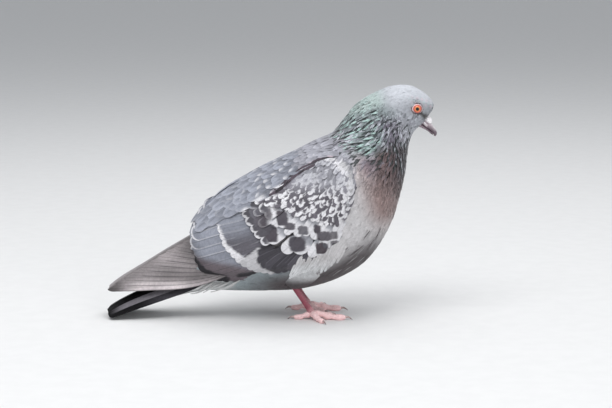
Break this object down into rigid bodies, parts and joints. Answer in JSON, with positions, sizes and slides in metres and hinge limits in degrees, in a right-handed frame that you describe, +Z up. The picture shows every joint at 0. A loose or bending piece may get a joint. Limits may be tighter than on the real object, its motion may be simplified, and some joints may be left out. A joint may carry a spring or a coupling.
{
  "type": "standing feral pigeon model",
  "caption": "Life-size still model of a grey chequered pigeon standing with folded wings, its head in profile and its tail low.",
  "frame": {"origin": "centre of the bird's footprint box, at floor level", "axes": "+X forward towards the bill, +Y to the bird's left, +Z up"},
  "size_m": [0.2804, 0.1086, 0.199],
  "materials": {
    "head_feathers": "matte bluish grey feathers",
    "neck_feathers": "feathers with a green and violet sheen",
    "body_feathers": "matte grey feathers, mauve on the breast",
    "wing_feathers": "matte feathers chequered in charcoal and white",
    "flight_feathers": "brownish grey vanes with dark edges",
    "tail_feathers": "dark grey vanes with a black end band",
    "leg_skin": "scaly pinkish red skin",
    "eyelid_skin": "bare pinkish skin",
    "claw_horn": "dark horn",
    "bill_horn": "dark horn with a pale tip",
    "cere": "powdery white skin",
    "eye": "wet gloss, orange-red iris"
  },
  "bodies": {
    "root": {"head": "head_feathers", "neck": "neck_feathers", "trunk": "body_feathers", "tail": "tail_feathers", "bill_upper": "bill_horn", "bill_lower": "bill_horn", "cere": "cere", "eye_right": "eye", "eyelid_right": "eyelid_skin", "wing_right": "wing_feathers", "primaries_right": "flight_feathers", "thigh_right": "body_feathers", "tarsus_right": "leg_skin", "toe_1_right": "leg_skin", "claw_1_right": "claw_horn", "toe_2_right": "leg_skin", "claw_2_right": "claw_horn", "toe_3_right": "leg_skin", "claw_3_right": "claw_horn", "toe_4_right": "leg_skin", "claw_4_right": "claw_horn", "eye_left": "eye", "eyelid_left": "eyelid_skin", "wing_left": "wing_feathers", "primaries_left": "flight_feathers", "thigh_left": "body_feathers", "tarsus_left": "leg_skin", "toe_1_left": "leg_skin", "claw_1_left": "claw_horn", "toe_2_left": "leg_skin", "claw_2_left": "claw_horn", "toe_3_left": "leg_skin", "claw_3_left": "claw_horn", "toe_4_left": "leg_skin", "claw_4_left": "claw_horn"}
  },
  "joints": []
}
